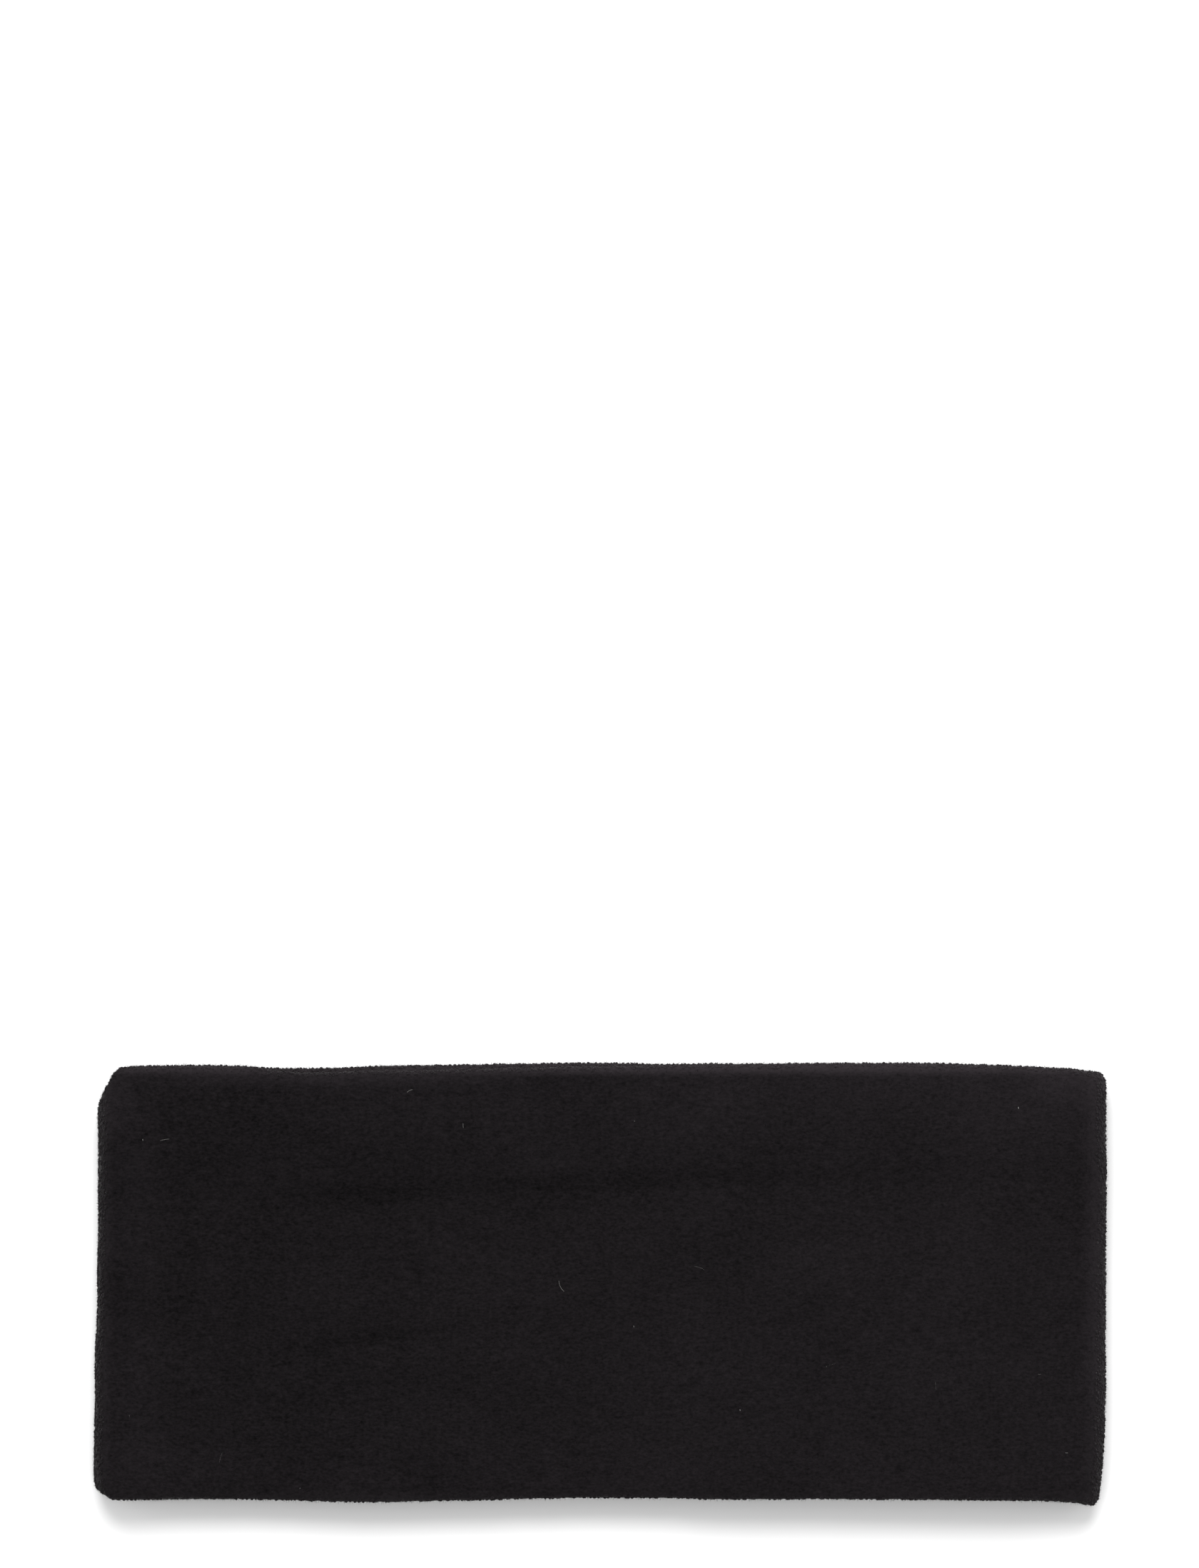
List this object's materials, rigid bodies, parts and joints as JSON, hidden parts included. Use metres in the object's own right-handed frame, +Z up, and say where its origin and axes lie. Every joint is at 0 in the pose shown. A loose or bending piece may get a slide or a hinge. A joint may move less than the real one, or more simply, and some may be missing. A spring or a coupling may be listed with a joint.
{
  "type": "ear warmer headband",
  "caption": "Plain black fleece ear warmer headband, a hollow loop of double cloth with turned edges, lying flat and folded at both ends.",
  "frame": {"origin": "on the surface that the band lies on, under the middle of its bounding box", "axes": "+X along the flattened loop from its left fold to its right fold, +Y across the band from its lower edge to its upper edge, +Z up from the surface"},
  "size_m": [0.2446, 0.1066, 0.0138],
  "materials": {
    "black_fleece": "matt napped micro-fleece with a faint sheen at its edges"
  },
  "bodies": {
    "root": {"fleece_band": "black_fleece"}
  },
  "joints": []
}
